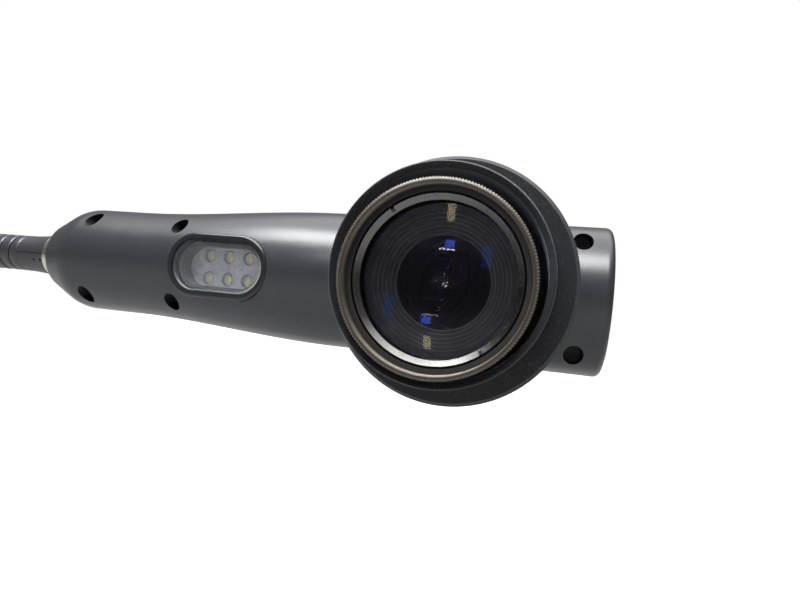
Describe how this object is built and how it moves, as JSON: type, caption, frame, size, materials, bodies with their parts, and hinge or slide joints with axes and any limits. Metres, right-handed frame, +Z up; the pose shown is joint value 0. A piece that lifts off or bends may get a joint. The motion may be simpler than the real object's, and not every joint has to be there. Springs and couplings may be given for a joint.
{
  "type": "inspection camera head on a flexible arm",
  "caption": "Tubular lit camera head with a large hooded close-up lens facing sideways, a small oblong lamp and a bendable ribbed arm ending in a mounting stud.",
  "frame": {"origin": "centre of the mounting stud where it meets its shoulder", "axes": "+X along the arm towards the head, -Y the way the lens looks, +Z up"},
  "size_m": [0.492, 0.0966, 0.0672],
  "materials": {
    "black_metal": "satin black",
    "insert_plastic": "moulded insert",
    "gold_pins": "gold flashed",
    "black_plastic": "satin moulded",
    "nylon": "natural nylon",
    "black_rubber": "matte moulded rubber",
    "nickel": "nickel plated, satin",
    "zinc_steel": "zinc plated",
    "housing": "fine-grained dark slate grey",
    "black_steel": "blackened steel",
    "gloss_black": "semi-gloss black",
    "clear_plastic": "clear moulded",
    "reflector": "silver-grey",
    "led_lens": "clear dome",
    "white_board": "white solder mask",
    "green_board": "green solder mask",
    "chip": "epoxy",
    "lead_sheath": "soft sheath",
    "ribbon": "amber film",
    "chassis": "glass-filled black",
    "foam": "closed-cell foam",
    "coated_glass": "violet coated",
    "lens_black": "flat black",
    "motor_can": "drawn steel",
    "blade_steel": "blackened",
    "filter_glass": "cyan tint",
    "black_anodised": "worn black anodising",
    "front_glass": "coated"
  },
  "bodies": {
    "base": {"base_stud": "black_metal", "base_ferrule": "black_metal", "base_connector": "insert_plastic", "connector_pins": "gold_pins"},
    "arm_01": {"arm_segment_01": "black_metal"},
    "arm_02": {"arm_segment_02": "black_metal"},
    "arm_03": {"arm_segment_03": "black_metal"},
    "arm_04": {"arm_segment_04": "black_metal"},
    "arm_05": {"arm_segment_05": "black_metal"},
    "arm_06": {"arm_segment_06": "black_metal"},
    "arm_07": {"arm_segment_07": "black_metal"},
    "arm_08": {"arm_segment_08": "black_metal"},
    "arm_09": {"arm_segment_09": "black_metal"},
    "arm_10": {"arm_segment_10": "black_metal"},
    "arm_11": {"arm_segment_11": "black_metal"},
    "head": {"arm_sleeve": "black_plastic", "arm_end_fitting": "black_metal", "nose_bushing": "nickel", "nose_seal": "black_rubber", "clamp_nut": "zinc_steel", "front_shell": "housing", "rear_shell": "housing", "housing_screws": "black_steel", "lamp_bezel": "gloss_black", "lamp_cover": "clear_plastic", "lamp_reflector": "reflector", "lamp_leds": "led_lens", "lamp_board": "white_board", "lamp_header": "black_plastic", "main_board": "green_board", "board_screws": "zinc_steel", "processor_chip": "chip", "lead_connector": "nylon", "arm_lead": "lead_sheath", "ribbon_cable": "ribbon", "camera_chassis": "chassis", "barrel_gasket": "foam", "front_lens": "coated_glass", "second_lens": "coated_glass", "second_cell": "lens_black", "guide_rods": "zinc_steel", "zoom_motor": "motor_can", "focus_motor": "motor_can", "iris_plate": "lens_black", "infrared_filter": "filter_glass", "image_sensor": "chip", "sensor_board": "green_board", "sensor_screws": "zinc_steel", "lens_hood": "black_rubber"},
    "close_up": {"close_up_ring": "black_anodised", "close_up_glass": "front_glass", "retaining_ring": "black_anodised"},
    "zoom_group": {"zoom_carriage": "lens_black", "zoom_lens": "coated_glass"},
    "zoom_drive": {"zoom_screw": "zinc_steel"},
    "focus_group": {"focus_carriage": "lens_black", "focus_lens": "coated_glass"},
    "focus_drive": {"focus_screw": "zinc_steel"},
    "iris_right": {"iris_blade_right": "blade_steel"},
    "iris_left": {"iris_blade_left": "blade_steel"}
  },
  "joints": [
    {"name": "arm_bend_01", "type": "hinge", "parent": "base", "child": "arm_01", "pos_m": [0.03, 0, 0], "axis": [0, -1, 0], "range_deg": [-15, 15]},
    {"name": "arm_swing_02", "type": "hinge", "parent": "arm_01", "child": "arm_02", "pos_m": [0.048, 0, 0], "axis": [0, 0, 1], "range_deg": [-15, 15]},
    {"name": "arm_bend_03", "type": "hinge", "parent": "arm_02", "child": "arm_03", "pos_m": [0.066, 0, 0], "axis": [0, -1, 0], "range_deg": [-15, 15]},
    {"name": "arm_swing_04", "type": "hinge", "parent": "arm_03", "child": "arm_04", "pos_m": [0.084, 0, 0], "axis": [0, 0, 1], "range_deg": [-15, 15]},
    {"name": "arm_bend_05", "type": "hinge", "parent": "arm_04", "child": "arm_05", "pos_m": [0.102, 0, 0], "axis": [0, -1, 0], "range_deg": [-15, 15]},
    {"name": "arm_swing_06", "type": "hinge", "parent": "arm_05", "child": "arm_06", "pos_m": [0.12, 0, 0], "axis": [0, 0, 1], "range_deg": [-15, 15]},
    {"name": "arm_bend_07", "type": "hinge", "parent": "arm_06", "child": "arm_07", "pos_m": [0.138, 0, 0], "axis": [0, -1, 0], "range_deg": [-15, 15]},
    {"name": "arm_swing_08", "type": "hinge", "parent": "arm_07", "child": "arm_08", "pos_m": [0.156, 0, 0], "axis": [0, 0, 1], "range_deg": [-15, 15]},
    {"name": "arm_bend_09", "type": "hinge", "parent": "arm_08", "child": "arm_09", "pos_m": [0.174, 0, 0], "axis": [0, -1, 0], "range_deg": [-15, 15]},
    {"name": "arm_swing_10", "type": "hinge", "parent": "arm_09", "child": "arm_10", "pos_m": [0.192, 0, 0], "axis": [0, 0, 1], "range_deg": [-15, 15]},
    {"name": "arm_bend_11", "type": "hinge", "parent": "arm_10", "child": "arm_11", "pos_m": [0.21, 0, 0], "axis": [0, -1, 0], "range_deg": [-15, 15]},
    {"name": "arm_swing_12", "type": "hinge", "parent": "arm_11", "child": "head", "pos_m": [0.228, 0, 0], "axis": [0, 0, 1], "range_deg": [-15, 15]},
    {"name": "close_up_turn", "type": "hinge", "parent": "head", "child": "close_up", "pos_m": [0.43265, -0.064, -0.00115], "axis": [0, -1, 0], "range_deg": [0, 1080]},
    {"name": "zoom_slide", "type": "slide", "parent": "head", "child": "zoom_group", "axis": [0, 1, 0], "range_m": [0, 0.01]},
    {"name": "zoom_screw_turn", "type": "hinge", "parent": "head", "child": "zoom_drive", "pos_m": [0.44125, -0.025, 0.00845], "axis": [0, 1, 0], "range_deg": [0, 1800]},
    {"name": "focus_slide", "type": "slide", "parent": "head", "child": "focus_group", "axis": [0, 1, 0], "range_m": [0, 0.005]},
    {"name": "focus_screw_turn", "type": "hinge", "parent": "head", "child": "focus_drive", "pos_m": [0.42405, -0.007, 0.00845], "axis": [0, 1, 0], "range_deg": [0, 1800]},
    {"name": "iris_right_slide", "type": "slide", "parent": "head", "child": "iris_right", "axis": [-1, 0, 0], "range_m": [0, 0.0035]},
    {"name": "iris_left_slide", "type": "slide", "parent": "head", "child": "iris_left", "axis": [1, 0, 0], "range_m": [0, 0.0035]}
  ],
  "couplings": [
    {"joint": "arm_bend_03", "follows": "arm_bend_01", "ratio": 1},
    {"joint": "arm_swing_04", "follows": "arm_swing_02", "ratio": 1},
    {"joint": "arm_bend_05", "follows": "arm_bend_01", "ratio": 1},
    {"joint": "arm_swing_06", "follows": "arm_swing_02", "ratio": 1},
    {"joint": "arm_bend_07", "follows": "arm_bend_01", "ratio": 1},
    {"joint": "arm_swing_08", "follows": "arm_swing_02", "ratio": 1},
    {"joint": "arm_bend_09", "follows": "arm_bend_01", "ratio": 1},
    {"joint": "arm_swing_10", "follows": "arm_swing_02", "ratio": 1},
    {"joint": "arm_bend_11", "follows": "arm_bend_01", "ratio": 1},
    {"joint": "arm_swing_12", "follows": "arm_swing_02", "ratio": 1},
    {"joint": "zoom_screw_turn", "follows": "zoom_slide", "rad_per_m": 3141.6},
    {"joint": "focus_screw_turn", "follows": "focus_slide", "rad_per_m": 6283.2},
    {"joint": "iris_left_slide", "follows": "iris_right_slide", "ratio": 1}
  ]
}
